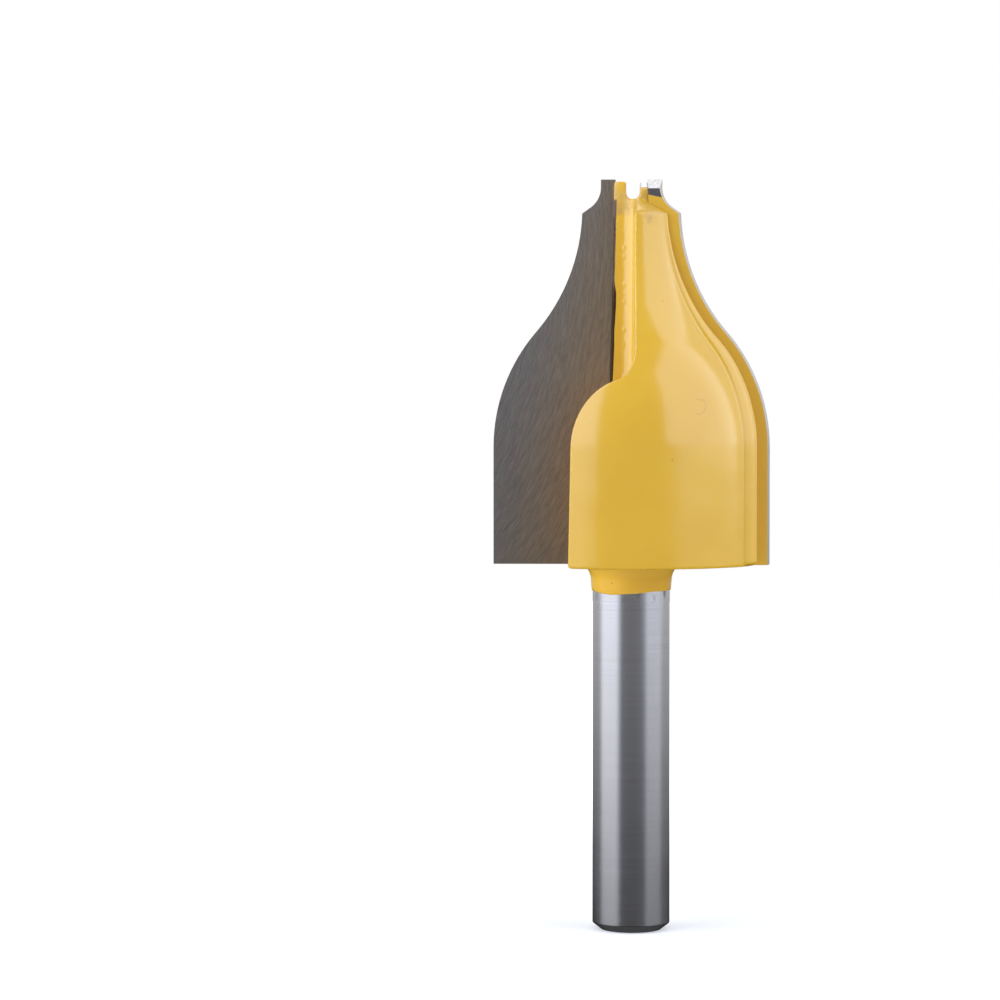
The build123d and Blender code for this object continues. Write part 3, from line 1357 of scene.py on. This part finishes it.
@dataclass(frozen=True)
class Softbox:
    """One large upright softbox beside the object, like a window.

    Attributes:
        name: Name of the lamp.
        azimuth: Direction that it faces from, counted from the camera's side towards the right.
        distance: Distance of its plane from the spindle axis.
        near: Reach of the box towards the camera, along its plane.
        far: Reach of the box away from the camera.
        low: Height of its lower edge.
        high: Height of its upper edge.
        radiance: Brightness of its face, where 1 is white.
        tint: Colour of its light, a little cooler than the room's.
    """

    name: str
    azimuth: float
    distance: float
    near: float
    far: float
    low: float
    high: float
    radiance: float
    tint: tuple[float, float, float] = (0.85, 0.93, 1.12)

    def build(self) -> None:
        """Add the lamp."""
        data = bpy.data.lights.new(self.name, "AREA")
        data.shape = "RECTANGLE"
        data.size = self.near + self.far
        data.size_y = self.high - self.low
        data.color = self.tint
        data.energy = self.radiance * math.pi * data.size * data.size_y
        lamp = bpy.data.objects.new(self.name, data)
        bpy.context.scene.collection.objects.link(lamp)
        direction = Vector((math.sin(self.azimuth), -math.cos(self.azimuth), 0.0))
        sideways = Vector((math.cos(self.azimuth), math.sin(self.azimuth), 0.0))
        if sideways.y > 0.0:
            sideways = -sideways
        centre = direction * self.distance + sideways * (self.near - self.far) / 2.0
        lamp.location = centre + Vector((0.0, 0.0, (self.low + self.high) / 2.0))
        lamp.rotation_euler = direction.to_track_quat("Z", "Y").to_euler()


@dataclass
class Studio:
    """Pale floor, white surroundings, a softbox on either side and the camera.

    Attributes:
        camera_distance: Distance of the camera from the spindle axis.
        camera_height: Height of the camera.
        pan: Turn of the camera to the left.
        tilt: Turn of the camera downwards.
        focal_length: Focal length for a sensor 36 mm wide.
        floor_radius: Radius of the floor.
        shadow: Distances from the spindle axis between which the floor turns white.
        sides: Directions along X between which the left of the room turns into the right.
        spill: Brightness of the table beside the object, left and right, below the softboxes.
        horizon: Directions along Z between which the spill falls to its dark edge.
        dark_edge: Share of the spill left just below the horizon.
        front: Directions along Y between which the dark room around the camera turns into the spill.
        front_shift: Shift of these directions on the right.
        dim: Least brightness of the room in front.
        behind: Directions along Y between which the room turns into the bright backdrop.
        backdrop: Directions along Z over which the backdrop brightens, and its brightness at either end.
        overhead: Directions along Z over which a lit strip of ceiling sets in, and its brightness there.
        overhead_width: Directions along X, to either side, between which that strip ends.
        under: Steepness down to which the table is still bright, up to which it is dark, and its share there.
        steep: Directions along Z between which the table close to the object shows.
        table: Brightness of the table close to the object, where a reflection points steeply down.
        fill: Soft light on the object from all round, and its surplus from the camera's side.
        fill_turn: Directions along Y between which that surplus ends.
        lamps: The left softbox, and the right one with three wings towards the camera that stand ever higher.
    """

    camera_distance: float = 324.0 * MM
    camera_height: float = 52.4 * MM
    pan: float = math.radians(2.408)
    tilt: float = math.radians(1.39)
    focal_length: float = 112.46
    floor_radius: float = 600.0 * MM
    shadow: tuple[float, float] = (35.0 * MM, 130.0 * MM)
    sides: tuple[float, float] = (-0.35, 0.35)
    spill: tuple[float, float] = (2.0, 1.14)
    horizon: tuple[float, float] = (-0.055, -0.030)
    dark_edge: float = 0.18
    front: tuple[float, float] = (-0.91, -0.68)
    front_shift: float = 0.06
    dim: float = 0.28
    behind: tuple[float, float] = (-0.05, 0.36)
    backdrop: tuple[float, float, float, float] = (-0.09, 0.05, 0.42, 1.0)
    overhead: tuple[float, float, float, float] = (0.45, 0.75, 0.0, 1.2)
    overhead_width: tuple[float, float] = (0.10, 0.22)
    under: tuple[float, float, float] = (-0.068, -0.156, 0.02)
    steep: tuple[float, float] = (-0.70, -0.30)
    table: float = 0.065
    fill: tuple[float, float] = (0.43, 0.26)
    fill_turn: tuple[float, float] = (-0.9, 0.1)
    lamps: tuple[Softbox, ...] = (
        Softbox("left_softbox", math.radians(-82.0), 0.5, 0.60, 0.25, 0.043, 1.10, 2.2),
        Softbox("right_softbox", math.radians(85.0), 0.5, 0.42, 0.26, 0.043, 1.12, 1.75),
        Softbox("right_softbox_wing_a", math.radians(85.0), 0.5, 0.50, -0.42, 0.054, 1.12, 1.75),
        Softbox("right_softbox_wing_b", math.radians(85.0), 0.5, 0.58, -0.50, 0.068, 1.12, 1.70),
        Softbox("right_softbox_wing_c", math.radians(85.0), 0.5, 0.68, -0.58, 0.090, 1.12, 1.60),
    )

    def floor(self) -> None:
        """Add the pale floor, which keeps a soft shadow near the object and is white further away."""
        deselect_all()
        bpy.ops.mesh.primitive_circle_add(vertices=96, radius=self.floor_radius, fill_type="NGON")
        floor = bpy.context.object
        floor.name = "pale_floor"
        material, build, shader = new_material("pale_floor")
        shader.inputs["Base Color"].default_value = (0.76, 0.76, 0.76, 1.0)
        shader.inputs["Roughness"].default_value = 1.0
        shader.inputs["Specular IOR Level"].default_value = 0.0
        away = build.length(build.add("ShaderNodeTexCoord").outputs["Object"])
        far = build.ramp(away, *self.shadow, 0.30, 1.0)
        rays = build.add("ShaderNodeLightPath")
        shader.inputs["Emission Color"].default_value = (1.0, 1.0, 1.0, 1.0)
        build.put(shader, "Emission Strength", build.times(far, rays.outputs["Is Camera Ray"]))
        floor.data.materials.append(material)
        floor.visible_glossy = False

    def surroundings(self) -> None:
        """Make the world white to the camera, with a darker room in front of and below the object.

        Reflections see the room, and the fill lights the rest.
        A direction is given by its part of a unit vector.
        """
        world = bpy.data.worlds.new("studio")
        bpy.context.scene.world = world
        world.use_nodes = True
        world.node_tree.nodes.clear()
        build = NodeBuilder(world.node_tree)
        x, y, z = build.split(build.add("ShaderNodeTexCoord").outputs["Generated"])
        spill = build.ramp(x, *self.sides, *self.spill)
        beside = build.times(spill, build.ramp(z, *self.horizon, 1.0, self.dark_edge))
        shift = build.ramp(x, *self.sides, 0.0, self.front_shift)
        lit = build.times(beside, build.ramp(build.minus(y, shift), *self.front))
        room = build.either(lit, self.dim)
        ceiling = build.ramp(build.math("ABSOLUTE", x), *self.overhead_width, 1.0, 0.0)
        overhead = build.times(build.ramp(z, *self.overhead), ceiling)
        backdrop = build.plus(build.ramp(z, *self.backdrop), overhead)
        behind = build.ramp(y, *self.behind)
        room = build.plus(build.times(room, build.minus(1.0, behind)), build.times(behind, backdrop))
        bright_to, dark_from, share = self.under
        room = build.times(room, build.ramp(z, dark_from, bright_to, share, 1.0))
        room = build.plus(room, build.ramp(z, *self.steep, self.table, 0.0))
        rays = build.add("ShaderNodeLightPath")
        seen = build.either(rays.outputs["Is Glossy Ray"], rays.outputs["Is Transmission Ray"])
        everywhere, surplus = self.fill
        fill = build.ramp(y, *self.fill_turn, everywhere + surplus, everywhere)
        strength = build.plus(build.times(seen, room), build.times(build.minus(1.0, seen), fill))
        strength = build.either(strength, rays.outputs["Is Camera Ray"])
        background = build.add("ShaderNodeBackground")
        build.put(background, "Color", (1.0, 1.0, 1.0, 1.0))
        build.put(background, "Strength", strength)
        output = build.add("ShaderNodeOutputWorld")
        build.put(output, "Surface", background.outputs["Background"])

    def camera(self) -> None:
        """Place the camera at the photograph's point of view."""
        data = bpy.data.cameras.new("camera")
        data.sensor_width = 36.0
        data.lens = self.focal_length
        data.clip_start = 0.01
        camera = bpy.data.objects.new("camera", data)
        camera.location = (0.0, -self.camera_distance, self.camera_height)
        camera.rotation_euler = (math.pi / 2 - self.tilt, 0.0, self.pan)
        bpy.context.scene.collection.objects.link(camera)
        bpy.context.scene.camera = camera

    def build(self) -> None:
        """Set up the stage, the lamps and the camera."""
        self.floor()
        self.surroundings()
        for lamp in self.lamps:
            lamp.build()
        self.camera()
        bpy.context.scene.view_settings.view_transform = "Standard"


def keep(piece: bpy.types.Object, material: bpy.types.Material, slot: RecordSlot, *nodes: str) -> None:
    """Give a finished piece its material and its body, and hide the nodes that it stands for.

    Args:
        piece: The finished piece.
        material: Its material.
        slot: The record's slot that it takes its finish from; not used.
        *nodes: Nodes that the piece stands for.
    """
    piece.data.materials.clear()
    piece.data.materials.append(material)
    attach(piece, "root")
    if nodes:
        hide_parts(*nodes)
    LOG.info("%s: %d faces", piece.name, len(piece.data.polygons))


def main() -> None:
    """Build the stage and the dressed pieces in order."""
    logging.basicConfig(level=logging.INFO, format="%(name)s: %(message)s")
    Studio().build()
    tip_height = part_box("carbide_tip_left")[1].z
    keep(PaintedHead(tip_height).build(), HeadPaint(tip_height).material(), RecordSlot.PAINT, "cutter_body")
    keep(GroundShank().build(), GroundSteel().material(), RecordSlot.PAINT, "cutter_body")
    for side in Side:
        CarbideTip(side, tip_height).dress()


if __name__ == "__main__":
    main()
